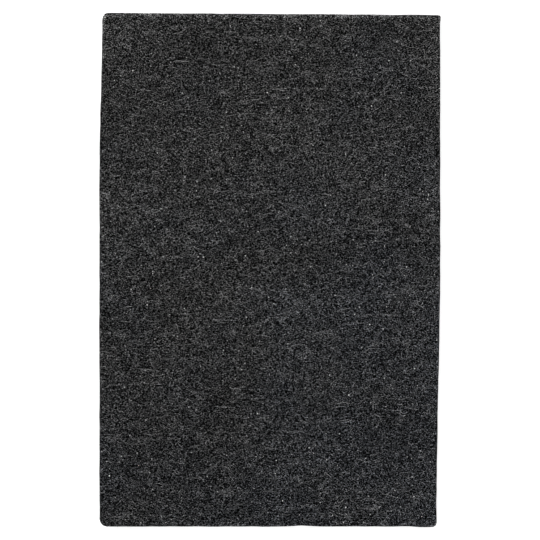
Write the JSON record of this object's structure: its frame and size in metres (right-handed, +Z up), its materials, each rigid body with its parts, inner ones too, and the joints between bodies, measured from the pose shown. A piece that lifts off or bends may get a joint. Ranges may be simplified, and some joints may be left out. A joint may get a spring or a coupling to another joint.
{
  "type": "abrasive hand pad",
  "caption": "Flat rectangular hand pad of dark non-woven abrasive web, with a tufted surface, die-cut sides and small rounded corners.",
  "frame": {"origin": "under the middle of the pad, on the surface that it lies on", "axes": "+X across the pad's width, +Y along its length towards the back edge, +Z up through its thickness"},
  "size_m": [0.1522, 0.2292, 0.007],
  "materials": {
    "abrasive_web": "matte charcoal mat of crimped, resin-bonded nylon fibres with fine grit"
  },
  "bodies": {
    "root": {"hand_pad": "abrasive_web"}
  },
  "joints": []
}
